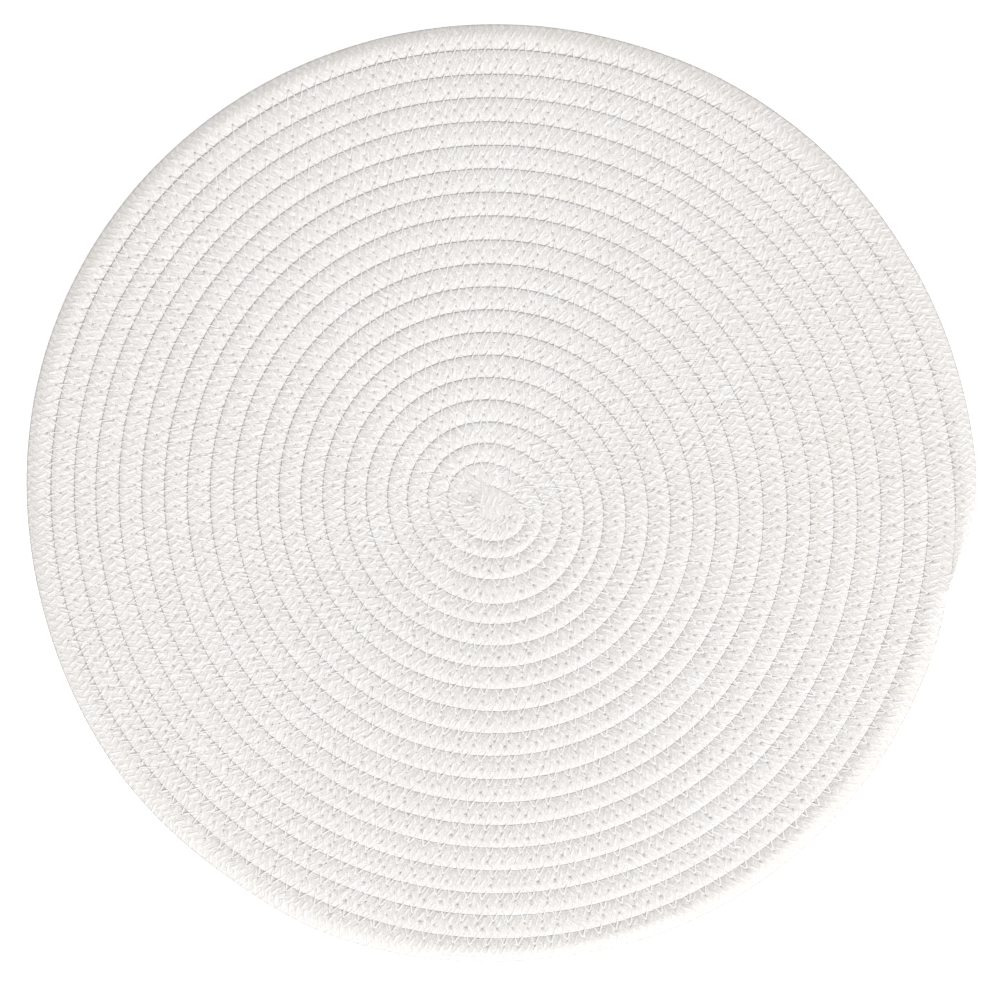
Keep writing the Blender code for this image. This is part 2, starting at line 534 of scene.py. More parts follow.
def sweep(name, rings, maps):
    """Joins rings of points into closed tubes, each with a flat face at both ends.

    rings is (tubes, rings, points, 3). A map has a pair of values for each corner of each face.
    """
    tubes, count, points = rings.shape[:3]
    index = np.arange(tubes * count * points).reshape(tubes, count, points)
    quads = tube_corners(np.concatenate((index, index[:, :, :1]), axis=2)).reshape(-1, 4)
    ends = np.concatenate((index[:, 0, ::-1], index[:, -1, :]))
    loops = np.concatenate((quads.ravel(), ends.ravel()))
    totals = np.concatenate((np.full(len(quads), 4), np.full(len(ends), points)))
    data = bpy.data.meshes.new(name)
    data.vertices.add(rings.size // 3)
    data.vertices.foreach_set("co", rings.astype(np.float32).ravel())
    data.loops.add(len(loops))
    data.loops.foreach_set("vertex_index", loops.astype(np.int32))
    data.polygons.add(len(totals))
    data.polygons.foreach_set("loop_start", (np.cumsum(totals) - totals).astype(np.int32))
    for map_name, values in maps.items():
        flat = np.zeros((len(loops), 2), np.float32)
        flat[: quads.size] = values.reshape(-1, 2)
        data.uv_layers.new(name=map_name).uv.foreach_set("vector", flat.ravel())
    data.update(calc_edges=True)
    data.validate()
    piece = bpy.data.objects.new(name, data)
    bpy.context.scene.collection.objects.link(piece)
    return piece


def finish_piece(piece, material, sharp):
    """Gives a new piece its material and smooth faces, and sets it on the solid model."""
    piece.data.materials.append(material)
    bpy.ops.object.select_all(action="DESELECT")
    piece.select_set(True)
    bpy.context.view_layer.objects.active = piece
    bpy.ops.object.shade_smooth_by_angle(angle=math.radians(sharp))
    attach(piece, BODY)


# ---------------------------------------------------------------- the rope

# Where the points of a cross-section lie across the rope: 1 is its outer edge, -1 its inner edge
TOP_ROWS = (
    *(-1.0, -0.98, -0.94, -0.79, -0.61, -0.43, -0.25, -0.07),
    *(0.11, 0.29, 0.47, 0.65, 0.82, 0.94, 0.98, 1.0),
)
UNDER_ROWS = (-1.0, -0.94, -0.31, 0.31, 0.94, 1.0)
RIM_SIDE = 0.995  # where the outermost of these lies on the rim


def dome(rope, across, rim):
    """How far the rope's upper side lies under its crown, from its inner edge to its outer edge."""
    size = np.abs(across)
    inner_drop = rope.rim_inner_drop if rim else rope.inner_drop
    inner_deep = rope.groove_depth + inner_drop - rope.inner_drop
    inner = (inner_drop, rope.inner_power, inner_deep, rope.inner_width)
    pressed = (rope.outer_drop, rope.outer_power, rope.groove_depth, rope.outer_width)
    free = (rope.rim_drop, rope.rim_power, MID, rope.rim_width)
    halves = []
    for drop, power, deep, width in (inner, free if rim else pressed):
        fall = np.clip((size - 1.0) / width + 1.0, 0.0, 1.0)
        halves.append(drop * size**power + (deep - drop) * (1.0 - np.sqrt(1.0 - fall**2)))
    return np.where(across > 0.0, halves[1], halves[0])


def half_section(rope, places, rim):
    """Points over the rope's upper half, from its inner edge to its outer edge.

    Columns: across from -1 inside to 1 outside, up from 0 to 1, the outward normal across and up, and the
    length run round the section. The first and the last point lie at mid height.
    """
    across = -np.cos(np.linspace(0.0, math.pi, 4001))
    outline = np.stack((across * PITCH / 2.0, MID - dome(rope, across, rim)), axis=-1)
    run = run_along(outline)
    way = np.gradient(outline, run, axis=0)
    up = outline[:, 1] / MID
    places = np.array(places)
    if rim:
        places[-1] = RIM_SIDE
    columns = (across, up, -way[:, 1], way[:, 0], run + up[0] * MID)
    rows = np.stack([np.interp(places, across, values) for values in columns], axis=-1)
    first = (-1.0, 0.0, -1.0, 0.0, 0.0)
    last = (1.0, 0.0, 1.0, 0.0, run[-1] + (up[0] + up[-1]) * MID)
    return np.concatenate(([first], rows, [last]))


def section(rope, rim):
    """The points of both halves, round to the first again, with the share of the way round."""
    top = half_section(rope, TOP_ROWS, rim)
    under = half_section(rope, UNDER_ROWS, rim)[::-1] * (1.0, -1.0, 1.0, -1.0, -1.0)
    under[:, 4] += 2.0 * top[-1, 4]
    rows = np.concatenate((top, under[1:]))
    rows[:, 4] /= rows[-1, 4]
    return rows


def braid_height(along, around, rope):
    """Height of the braid's surface, from 0 in the valleys to 1 on top of a strand."""
    first, second = along + around, along - around
    cell = np.floor(first).astype(int), np.floor(second).astype(int)
    first_on_top = (cell[0] - cell[1]) % 2 == 0
    here = first % 1.0 - 0.5, second % 1.0 - 0.5
    across = np.where(first_on_top, here[0], here[1])
    along = np.where(first_on_top, here[1], here[0])
    table = np.random.default_rng(5).uniform(0.65, 1.0, 4096)
    uneven = table[(cell[0] * 157 + cell[1] * 71) % 4096]
    return np.cos(math.pi * across) ** 0.8 * np.abs(np.cos(math.pi * along)) ** 0.4 * uneven


ROPE_START = 0.0008  # in turns: where the rope's first cross-section stands
SEWN_FROM = 0.98  # in turns: from where on the rope's outer side lies in a groove
TIP_RISE = 0.006  # in turns: how long the rope's outer end takes to reach its full height
TIP_FADE = 0.03  # in turns: how gently the filled groove beside that end opens
TIP_START = 0.005  # in turns: how gently it fills
UNEVENLY_FILLED = 0.16  # share of a groove's depth that it lacks here and there
UNEVEN_STEP = 0.0030  # how often along the rope that changes
HEART_STEP = 0.010  # the same in the heart of the coil
HEART_FADE = 0.8  # in turns: how long the grooves take to become as uneven as there
SAG = 0.00006  # how far the rope sinks here and there
SAG_STEP = 0.011  # how often along it that changes
TWIST_WANDER, TWIST_STEP = 0.09, 0.06  # share of the way round that the braid strays, and how often
PLAIT_WANDER, PLAIT_STEP = 0.25, 0.02  # plaits that it strays along the rope, and how often
DRIFT = (0.07, 0.05)  # plaits that single strands stray, along and around the rope
LOOSE_FROM, LOOSENED = 19.2, 0.5  # in turns: where the braid loosens towards the cut end, and how far
FAR = 0.005  # a way that is longer than the reach of a needle hole's dent and painted shade
BETWEEN_HOLES = 0.58  # place across the rope that parts the holes of its two seams
HEART_HOLE_REACH = 1.8  # how far from a hole in the heart it is the nearest, in millimetres
WALL_SLOPE = 0.55  # upward part of the normal under which a groove's wall starts
EDGE_RELIEF = 0.12  # share of the relief that the sides of a groove keep
RIM_SMOOTHED = 0.6  # share of the relief that the rim lacks at its edge
RIM_END = 1.02  # in turns: where the rope's outer side is no longer the rim
RIM_FADE = 0.03  # in turns: how gently it stops being the rim
BULGE_FADE = 0.05  # in turns: how gently the bulge of the rim does
BULGE_POWERS = (8, 3)  # how closely the solid's bulge and the further one keep to the rim


class RopeSurface:
    """The rope's surface, from its outer end to its cut end in the heart of the coil."""

    def __init__(self, rope, sewing, seam):
        fine = np.linspace(ROPE_START, ROPE_TURNS, 80001)
        run = run_along((outer_edge(fine) + inner_edge(fine)) / 2.0)
        count = round(run[-1] / rope.ring_spacing) + 1
        self.run = np.linspace(0.0, run[-1], count)
        self.turns = np.interp(self.run, run, fine)
        pressed, free = section(rope, False), section(rope, True)
        rim = eased((RIM_END - self.turns) / RIM_FADE)[:, None, None]
        columns = pressed + (free - pressed) * rim
        self.across, self.up, self.normal_out, self.normal_up, self.share = np.moveaxis(columns, 2, 0)
        self.rope, self.sewing, self.seam = rope, sewing, seam

    def rings(self):
        """(rings, points, 3): the rope's surface."""
        turns = self.turns
        outer, inner = outer_edge(turns), inner_edge(turns)
        middle, half = (outer + inner) / 2.0, (outer - inner) / 2.0
        width = 2.0 * np.linalg.norm(half, axis=1)
        out = half / np.linalg.norm(half, axis=1)[:, None]
        height = MID * np.sqrt(np.clip(turns / TIP_RISE, 0.0, 1.0))
        sunk = self.sunk(width)
        filled = self.filled() * (self.up != 0.0)
        level = self.up + (np.sign(self.up) - self.up) * filled
        side = self.across * width[:, None] / 2.0 - self.normal_out * sunk * (1.0 - filled)
        steep = np.maximum(np.abs(self.normal_up), filled)
        lift = level * height[:, None] - np.sign(self.up) * steep * sunk
        outwards = np.clip(self.across, 0.0, 1.0)
        bulge = RIM_BULGE * eased((1.0 - turns) / BULGE_FADE)[:, None] * outwards ** BULGE_POWERS[0]
        extra = np.interp(turns, *np.array(RIM_BULGES).T) * MILLIMETRE * eased((1.0 - turns) / RIM_FADE)
        bulge = bulge + extra[:, None] * outwards ** BULGE_POWERS[1]
        side = side + bulge * np.clip(turns / END_TAPER, 0.0, 1.0)[:, None]
        self.flat = middle[:, None, :] + out[:, None, :] * side[..., None] - rim_shift()
        away = np.linalg.norm(self.flat - cut_end_middle(), axis=-1) / CUT_REACH
        dent = np.minimum(CUT_DEPTH * np.exp(-(away**4)), np.maximum(np.abs(lift) - MID / 2.0, 0.0))
        return np.concatenate((self.flat, MID + (lift - np.sign(lift) * dent)[..., None]), axis=-1)

    def filled(self):
        """How much of the grooves inside and outside the rope is filled, from 0 to 1."""
        turns = self.turns
        by_end = eased((turns - (ROPE_TURNS - 1.0 - RUN_OUT)) / RUN_OUT)
        in_crease = eased((turns - LAST_FULL_TURN) / RUN_OUT)
        near_heart = eased((turns - HEART_START) / HEART_FADE) * HEART_FILLED
        past_tip = eased((turns - (1.0 - TIP_START)) / TIP_START)
        inside = (
            by_end - (1.0 - CREASE_FILLED) * in_crease,
            eased((END_TAPER - turns) / TIP_FADE),
            self.squeezed(turns + 1.0),
            self.unevenly(UNEVENLY_FILLED, UNEVEN_STEP, 9),
            self.unevenly(near_heart, HEART_STEP, 6),
        )
        outside = (
            START_FILLED * eased((turns - (ROPE_TURNS - START_FADE)) / START_FADE),
            eased((1.0 + END_TAPER - turns) / TIP_FADE) * past_tip,
            self.squeezed(turns),
            self.unevenly(UNEVENLY_FILLED, UNEVEN_STEP, 10) * (turns >= 1.0),
            self.unevenly(near_heart, HEART_STEP, 7),
        )
        inside, outside = (np.max(shares, axis=0)[:, None] for shares in (inside, outside))
        return np.where(self.across < 0.0, inside, outside)

    def unevenly(self, most, step, seed):
        """A share that wanders along the rope between 0 and the most."""
        return most * (1.0 + wander(self.run, step, seed)) / 2.0

    def squeezed(self, turns):
        """How much of the groove at a place in turns is filled where the thread squeezes the rope."""
        run = seam_run(turns)
        away = self.seam.leg_distance(run, 0.0 * run)
        sewn = (turns >= 1.0) & (turns <= ROPE_TURNS)
        return SQUEEZED * np.exp(-((away / SQUEEZE_REACH) ** 2) / 2.0) * sewn

    def sunk(self, width):
        """How far the surface lies under the smooth section."""
        rope, sewing, turns, across = self.rope, self.sewing, self.turns[:, None], self.across
        along, around = self.braid()
        slender = np.clip(turns / END_TAPER, 0.0, 1.0)
        braid = rope.plait_depth * (1.0 - braid_height(along, around, rope))
        from_outside = (1.0 - across) / 2.0 * width[:, None]
        from_inside = width[:, None] - from_outside
        stitched = seam_relief(self.seam, sewing, seam_run(turns) + 0.0 * across, from_outside)
        stitched *= turns >= 1.0
        under_seam = seam_relief(self.seam, sewing, seam_run(turns + 1.0) + 0.0 * across, -from_inside)
        under_seam *= turns + 1.0 <= ROPE_TURNS
        total = braid + np.maximum(stitched, under_seam)
        total = total + SAG * (1.0 + wander(self.run, SAG_STEP, 3)[:, None])
        beside = np.where(across > 0, turns >= SEWN_FROM, True)
        fade = np.maximum(eased(np.abs(self.normal_up) / WALL_SLOPE), EDGE_RELIEF * (self.up != 0.0))
        fade = np.where(beside, fade, 1.0 - RIM_SMOOTHED * across**8)
        fade = np.maximum(fade, self.filled())
        return total * fade * slender

    def braid(self):
        """The braid's own places along and around the rope, in plaits."""
        rope = self.rope
        strayed = TWIST_WANDER * wander(self.run, TWIST_STEP, 4)
        around = self.share + (rope.twist * self.run + strayed)[:, None]
        along = self.run / rope.plait + PLAIT_WANDER * wander(self.run, PLAIT_STEP, 8)
        along = along[:, None] + 0.0 * around
        around = around * rope.strands / 2.0
        drift = np.sin(1.9 * along + 2.3 * around) + np.sin(0.83 * along - 3.1 * around + 1.0)
        aside = np.sin(1.37 * along + 1.7 * around)
        loose = 1.0 + LOOSENED * eased((self.turns - LOOSE_FROM) / 0.5)[:, None]
        return along + DRIFT[0] * loose * drift, around + DRIFT[1] * loose * aside

    def maps(self):
        """The braid's places, and the way to the nearest needle hole in millimetres."""
        seam, turns = self.seam, self.turns[:, None] + 0.0 * self.across
        width = np.linalg.norm(outer_edge(self.turns) - inner_edge(self.turns), axis=1)[:, None]
        from_outside = corners((1.0 - self.across) / 2.0 * width)
        width = corners(width + 0.0 * self.across)
        place = corners(turns).mean(axis=2, keepdims=True)
        outer_holes = seam.outer_run, seam.outer_side, seam.outer_size
        inner_holes = seam.inner_run, seam.inner_side, seam.inner_size
        ways = []
        for groove, away, sewn, (hole_run, hole_side, sizes) in (
            (turns, from_outside, place >= 1.0, inner_holes),
            (turns + 1.0, from_outside - width, place + 1.0 <= ROPE_TURNS, outer_holes),
        ):
            run = corners(seam_run(groove))
            near = seam.nearest(hole_run, run.mean(axis=2, keepdims=True))
            way = np.stack((run - hole_run[near], away - hole_side[near]), axis=-1)
            ways.append(np.where(sewn[..., None], way / sizes[near][..., None], FAR))
        share = (from_outside / width).mean(axis=2, keepdims=True)
        holes = np.where((share > BETWEEN_HOLES)[..., None], ways[1], ways[0]) / MILLIMETRE
        return {BRAID_MAP: corners(np.stack(self.braid(), axis=-1)), HOLE_MAP: self.heart_holes(holes)}

    def heart_holes(self, holes):
        """The ways to the needle holes, with those of the first stitches in the heart."""
        place = corners(self.flat)
        for x, y in HEART_HOLES:
            way = (place - centre(np.array(TURNS)) + rim_shift()) / MILLIMETRE - (x, y)
            near = np.linalg.norm(way.mean(axis=2, keepdims=True), axis=-1, keepdims=True) < HEART_HOLE_REACH
            holes = np.where(near, way, holes)
        return holes


def make_rope(rope, sewing, material):
    """The rope in a few lengths, each closed and butting against the next."""
    surface = RopeSurface(rope, sewing, Seam(sewing))
    rings, maps = surface.rings(), surface.maps()
    stops = np.linspace(0, len(rings) - 1, rope.lengths + 1).round().astype(int)
    pieces = []
    for number, (start, stop) in enumerate(zip(stops, stops[1:]), 1):
        piece = sweep(
            f"rope_length_{number}",
            rings[None, start : stop + 1, :-1],
            {name: values[start:stop] for name, values in maps.items()},
        )
        finish_piece(piece, material, 70.0)
        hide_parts(ROPE_NODE)
        turns = surface.turns[[start, stop]]
        run = surface.run[[start, stop]]
        pieces.append((piece, turns, run))
    return pieces


# ---------------------------------------------------------------- the cut end in the heart

GOLDEN_ANGLE = math.pi * (3.0 - math.sqrt(5.0))  # spreads the yarn ends evenly over a disc
YARN_END = 0.0014  # length of a yarn's end
YARN_LEAN, YARN_CROOKED = 0.0006, 0.0004  # how far it leans outwards, and how unevenly
YARN_STRAYED = 0.0001  # how unevenly the ends lie
YARN_TOPS = (0.00005, 0.00055)  # how far under the crown they stop
YARN_TAPER = 0.25  # share of its thickness that an end loses
YARN_SIDES = 6


def make_cut_end(rope, material):
    """The rope's cut end: the ends of its yarns, close together, on both faces of the mat."""
    rng = np.random.default_rng(21)
    count = rope.yarn_ends
    number = np.arange(count) + 0.5
    angle = number * GOLDEN_ANGLE
    away = CUT_REACH * np.sqrt(number / count) + rng.normal(0.0, YARN_STRAYED, count)
    spoke = np.stack((np.cos(angle), np.sin(angle)), axis=-1)
    root = cut_end_middle() + spoke * away[:, None]
    lean = spoke * YARN_LEAN + rng.normal(0.0, YARN_CROOKED, (count, 2))
    share = np.linspace(0.0, 1.0, 4)
    flat = root[:, None, :] + lean[:, None, :] * share[None, :, None]
    top = MID - rng.uniform(*YARN_TOPS, count)
    lift = top[:, None] - YARN_END * (1.0 - share)[None, :]
    radius = rope.yarn_thickness / 2.0 * (1.0 - YARN_TAPER * share**3)[None, :, None]
    angles = np.arange(YARN_SIDES) / YARN_SIDES * FULL_TURN
    x = flat[..., 0, None] + radius * np.cos(angles)
    y = flat[..., 1, None] + radius * np.sin(angles)
    up = np.broadcast_to(lift[..., None], x.shape)
    above = np.stack((x, y, MID + up), axis=-1)
    below = np.stack((x, y, MID - up), axis=-1)[:, :, ::-1]
    rings = np.concatenate((above, below))
    run = np.broadcast_to((share * 0.5)[None, :, None], (*rings.shape[:2], YARN_SIDES + 1))
    turn = np.broadcast_to(np.arange(YARN_SIDES + 1) / YARN_SIDES, run.shape)
    piece = sweep("cut_yarn_ends", rings, {YARN_MAP: tube_corners(np.stack((run, turn), axis=-1))})
    finish_piece(piece, material, 80.0)
    return piece


# ---------------------------------------------------------------- the sewing thread


def seam_points(run, side):
    """Where a place by the seam lies: side is over 0 on the rope inside the seam."""
    turns = np.interp(run, SEAM_RUN, SEAM_TURNS)
    edge = laid_edge(turns)
    inward = inner_edge(turns) - edge
    outward = outer_edge(turns - 1.0) - edge
    way = np.where((side > 0)[..., None], inward, outward)
    way = way / np.linalg.norm(way, axis=-1)[..., None]
    return edge + way * np.abs(side)[..., None]


INSIDE_STOPS = (0.0, 0.09, 0.55, 0.90)  # a leg's rings, as shares of it from the inner hole to the groove
OUTSIDE_STOPS = (0.86, 0.45, 0.13, 0.0)  # the same from the outer hole, on the groove's other side
UNDER_STOPS = [0, 1, 3, 4, 6, 7]  # those of the eight that the underside keeps
ON_SHOULDER = 0.7  # share of its sink that the thread loses on the rope's shoulder


def thread_depth(rope, sewing, side):
    """How deep under the crowns the thread lies, at a distance from the groove."""
    across = (1.0 - 2.0 * np.abs(side) / PITCH) * np.where(side > 0.0, 1.0, -1.0)
    drop = dome(rope, across, False)
    shoulder = np.exp(-((side / SHOULDER) ** 2))
    sunk = np.minimum(drop * (1.0 - SQUEEZED) + sewing.shoulder_pull * shoulder, sewing.thread_dip)
    return sunk + sewing.thread_sink * (1.0 - ON_SHOULDER * shoulder)


def make_thread(name, rope, sewing, material, upward):
    """The legs of the zigzag on the top (upward 1) or the underside (upward -1), joined in one mesh."""
    seam = Seam(sewing)
    legs = np.concatenate(seam.legs())
    crossing = legs[:, 0, 1] / (legs[:, 0, 1] - legs[:, 1, 1])
    inside, outside = crossing[:, None], 1.0 - crossing[:, None]
    share = np.concatenate((inside * INSIDE_STOPS, 1.0 - outside * OUTSIDE_STOPS), axis=1)
    if upward < 0:
        share = share[:, UNDER_STOPS]
    stops = legs[:, 0, None, :] + (legs[:, 1] - legs[:, 0])[:, None, :] * share[..., None]
    flat = seam_points(stops[..., 0], stops[..., 1])
    depth = thread_depth(rope, sewing, stops[..., 1])
    depth[:, [0, -1]] = sewing.thread_end
    way = flat[:, -1] - flat[:, 0]
    way = way / np.linalg.norm(way, axis=1)[:, None]
    aside = np.stack((-way[:, 1], way[:, 0]), axis=-1)
    ridge = np.array(((-0.5, 0.0), (0.0, 1.0), (0.5, 0.0)))  # across in widths, up in heights
    side = flat[:, :, None, :] + aside[:, None, None, :] * (sewing.thread * ridge[:, 0])[:, None]
    up = MID - depth[:, :, None] + sewing.thread_height * ridge[:, 1]
    rings = np.concatenate((side - rim_shift(), (MID + upward * up)[..., None]), axis=-1)
    if upward < 0:
        rings = rings[:, :, ::-1]
    run = np.repeat(share[:, :, None], len(ridge) + 1, axis=2)
    turn = np.broadcast_to(np.array((0.0, 0.25, 0.5, 1.0)), run.shape)
    piece = sweep(name, rings, {YARN_MAP: tube_corners(np.stack((run, turn), axis=-1))})
    finish_piece(piece, material, 80.0)
    return piece


# ---------------------------------------------------------------- shader maths


class Socket:
    """A value in a shader. Python's operators on it add Math nodes."""

    def __init__(self, graph, output):
        self.graph = graph
        self.output = output

    def math(self, operation, *others, flipped=False):
        values = (*others, self) if flipped else (self, *others)
        return self.graph.node("ShaderNodeMath", {"operation": operation}, dict(enumerate(values)))

    def __add__(self, other):
        return self.math("ADD", other)

    def __radd__(self, other):
        return self.math("ADD", other)

    def __sub__(self, other):
        return self.math("SUBTRACT", other)

    def __rsub__(self, other):
        return self.math("SUBTRACT", other, flipped=True)

    def __mul__(self, other):
        return self.math("MULTIPLY", other)

    def __rmul__(self, other):
        return self.math("MULTIPLY", other)

    def __pow__(self, other):
        return self.math("POWER", other)

    def __mod__(self, other):
        return self.math("FLOORED_MODULO", other)


class Graph:
    """The nodes of one material."""

    def __init__(self, material):
        material.use_nodes = True
        self.tree = material.node_tree
        self.tree.nodes.clear()
        output = self.tree.nodes.new("ShaderNodeOutputMaterial")
        self.shader = self.tree.nodes.new("ShaderNodeBsdfPrincipled")
        self.tree.links.new(self.shader.outputs[0], output.inputs["Surface"])

    def feed(self, socket, value):
        if isinstance(value, Socket):
            self.tree.links.new(value.output, socket)
        else:
            socket.default_value = value

    def node(self, kind, settings=None, inputs=None, output=0):
        """Adds a node: its settings first, then the values or links of its sockets."""
        node = self.tree.nodes.new(kind)
        for name, value in (settings or {}).items():
            setattr(node, name, value)
        for name, value in (inputs or {}).items():
            self.feed(node.inputs[name], value)
        return Socket(self, node.outputs[output])

    def set(self, **values):
        for name, value in values.items():
            self.feed(self.shader.inputs[name.replace("_", " ")], value)

    def mix(self, share, first, second):
        """A colour between two others."""
        settings = {"data_type": "RGBA"}
        return self.node("ShaderNodeMix", settings, {0: share, 6: first, 7: second}, output=2)

    def uv(self, name):
        """The two values of a UV map."""
        where = self.node("ShaderNodeUVMap", {"uv_map": name})
        return [self.node("ShaderNodeSeparateXYZ", None, {0: where}, output=i) for i in (0, 1)]

    def smooth(self, value, start, stop):
        """0 at the start and 1 at the stop, with a smooth step between them."""
        settings = {"interpolation_type": "SMOOTHSTEP"}
        inputs = {0: value, 1: min(start, stop), 2: max(start, stop)}
        share = self.node("ShaderNodeMapRange", settings, inputs)
        return share if stop > start else 1.0 - share

    def noise(self, vector, scale, detail=2.0, rough=0.5):
        inputs = {"Vector": vector, "Scale": scale, "Detail": detail, "Roughness": rough}
        return self.node("ShaderNodeTexNoise", None, inputs, output="Fac")


def rgba(colour):
    return (*colour, 1.0)


# The cotton's relief in metres, and the scales of its grain
STRAND_RELIEF = 0.00014
FIBRE_RELIEF = 0.00015
FUZZ_RELIEF = 0.00043
HOLE_RELIEF = 0.0002
CREASE_RELIEF = 0.00018
BEND_SCALES, BEND = (380.0, 300.0), 0.50  # how far the strands bend, in plaits
CROOKED_SCALE, CROOKED = 1000.0, 0.30  # how far the yarns do, in strands
FUZZ_SCALE = 2300.0
SHADE_SCALE = 90.0  # of the faint darker and lighter patches
HOLE_SCALE, HOLE_UNEVEN = 900.0, 0.5  # how ragged the holes' edges are, in millimetres
HOLE_REACH = (0.42, 0.08)  # of a needle hole's dent and the painted shade in it, in millimetres
CREASE_REACH, CREASE_LENGTH = (0.45, 0.0), (2.0, 0.3)  # of the folds that run to it, dented and with a little painted shade
PAINTED_SHADE_REACH = (0.0013, 0.0)  # from mid height up to where the painted shade in the grooves and at the rim's edge ends
HOLE_PAINTED_SHADE, CREASE_PAINTED_SHADE = 0.65, 0.10  # share of the hole colour, a painted shade, that the holes and the folds take
PAINTED_SHADE_LIGHT = 0.5  # share of the colour between the yarns that the painted shade in the grooves and at the rim's edge keeps
LIT_FROM = 0.75  # what the weights below have to add up to before the cotton lightens

# How much each thing lightens the cotton, from the colour between the yarns to the yarn's own; the yarn and
# strand weights paint shade into the valleys, the others give random tone
LIGHTENS = (
    # thing, weight
    ("yarn", 0.35),
    ("strand", 0.30),
    ("fibres", 0.45),
    ("fuzz", 0.85),
    ("lot", 0.25),
    ("shade", 0.3),
)


def cotton_material(rope, finish):
    """Braided cotton: yarns side by side in strands that pass over and under each other."""
    material = bpy.data.materials.new("braided_cotton")
    g = Graph(material)
    place = g.node("ShaderNodeTexCoord", output="Object")
    along, around = g.uv(BRAID_MAP)
    bend_first, bend_second = g.noise(place, BEND_SCALES[0]) - 0.5, g.noise(place, BEND_SCALES[1], 1.0) - 0.5
    first, second = along + around + bend_first * BEND, along - around + bend_second * BEND
    cell_first, cell_second = first.math("FLOOR"), second.math("FLOOR")
    second_on_top = (cell_first - cell_second) % 2.0
    here_first, here_second = first - cell_first - 0.5, second - cell_second - 0.5
    across = here_first + (here_second - here_first) * second_on_top
    length = here_second + (here_first - here_second) * second_on_top
    strand_number = cell_first * 7.3 + cell_second
    crooked = (across + (g.noise(place, CROOKED_SCALE) - 0.5) * CROOKED) * rope.yarns + 0.5
    yarn_number = crooked.math("FLOOR")
    yarn = ((crooked - yarn_number - 0.5) * math.pi).math("COSINE")
    which = g.node("ShaderNodeCombineXYZ", None, {0: yarn_number, 1: cell_first, 2: cell_second})
    lot = g.node("ShaderNodeTexWhiteNoise", {"noise_dimensions": "3D"}, {"Vector": which}, output="Value")
    strand = (across * math.pi).math("COSINE") * (length * math.pi).math("COSINE") ** 0.4
    spun = g.node("ShaderNodeCombineXYZ", None, {0: across * 9.0, 1: length * 3.0, 2: strand_number})
    fibres = g.noise(spun, 1.0, 3.0, 0.6)
    fuzz = g.noise(place, FUZZ_SCALE, 2.0, 0.6)
    height = yarn * (lot * 0.6 + 0.5) * rope.yarn_depth + strand * STRAND_RELIEF
    height = height + fibres * FIBRE_RELIEF + fuzz * FUZZ_RELIEF

    hole_run, hole_side = g.uv(HOLE_MAP)
    away = (hole_run * hole_run + hole_side * hole_side).math("SQRT")
    away = away + (g.noise(place, HOLE_SCALE) - 0.5) * HOLE_UNEVEN
    hole = g.smooth(away, *HOLE_REACH)
    creases = []
    for angle in (STRAND_ANGLE, -STRAND_ANGLE):
        aside = (hole_side * math.cos(angle) - hole_run * math.sin(angle)).math("ABSOLUTE")
        creases.append(g.smooth(aside, *CREASE_REACH) * g.smooth(away, *CREASE_LENGTH))
    crease = creases[0].math("MAXIMUM", creases[1])

    shade = g.noise(place, SHADE_SCALE, 3.0)
    things = {"yarn": yarn, "strand": strand, "fibres": fibres, "fuzz": fuzz, "lot": lot, "shade": shade}
    lit = sum(things[thing] * weight for thing, weight in LIGHTENS) - LIT_FROM
    # The valley colour where yarns and strands dip is painted shade; the noise terms give random tone
    colour = g.mix(g.smooth(lit, 0.0, 1.0), rgba(finish.valley), rgba(finish.cotton))
    # Painted shade: darker near mid height, in the grooves where two turns touch and at the rim's edge by the
    # table
    height_here = g.node("ShaderNodeSeparateXYZ", None, {0: place}, output=2)
    painted_groove_shade = g.smooth((height_here - MID).math("ABSOLUTE"), *PAINTED_SHADE_REACH)
    colour = g.mix(painted_groove_shade, colour, rgba([PAINTED_SHADE_LIGHT * c for c in finish.valley]))
    # Painted shade in the needle holes and the folds that run to them
    colour = g.mix(hole * HOLE_PAINTED_SHADE + crease * CREASE_PAINTED_SHADE, colour, rgba(finish.hole))
    sunk = hole * HOLE_RELIEF + crease * CREASE_RELIEF
    normal = g.node("ShaderNodeBump", None, {"Strength": 1.0, "Distance": 1.0, "Height": height - sunk})
    g.set(Base_Color=colour, Roughness=0.95, Normal=normal, Sheen_Weight=0.08)
    return material


PLIES = (11.0, 2.0)  # of a thread or loose yarn, along it and round it
PLY_RELIEF, HAIR_RELIEF = 0.00005, 0.00002  # of the plies and the hairs on them, in metres
PLY_LIGHT = 0.82  # share of its colour that it keeps between the plies, a painted shade


def thread_material(name, tone):
    """A two-ply cotton yarn."""
    material = bpy.data.materials.new(name)
    g = Graph(material)
    run, turn = g.uv(YARN_MAP)
    ply = ((run * PLIES[0] + turn * PLIES[1]) * FULL_TURN).math("SINE") * 0.5 + 0.5
    place = g.node("ShaderNodeTexCoord", output="Object")
    fuzz = g.noise(place, 3000.0)
    # Darker between the plies: painted shade, with random tone from the fuzz
    colour = g.mix(ply * 0.7 + fuzz * 0.3, rgba([PLY_LIGHT * c for c in tone]), rgba(tone))
    height = ply * PLY_RELIEF + fuzz * HAIR_RELIEF
    normal = g.node("ShaderNodeBump", None, {"Strength": 1.0, "Distance": 1.0, "Height": height})
    g.set(Base_Color=colour, Roughness=0.75, Normal=normal)
    return material


FLOOR_SIZE, FLOOR_DROP = 6.0, 0.0002  # the floor lies a little under the mat
FLOOR_TONES = ((0.93, 0.93, 0.93, 1.0), (0.95, 0.95, 0.95, 1.0))
FLOOR_GLOW = 0.5  # keeps the floor white, as in the photo
SKY_COLOUR = (1.0, 0.985, 0.968, 1.0)
KEY_COLOUR = (0.985, 0.993, 1.0)
SENSOR_WIDTH = 36.0  # of the camera, in millimetres


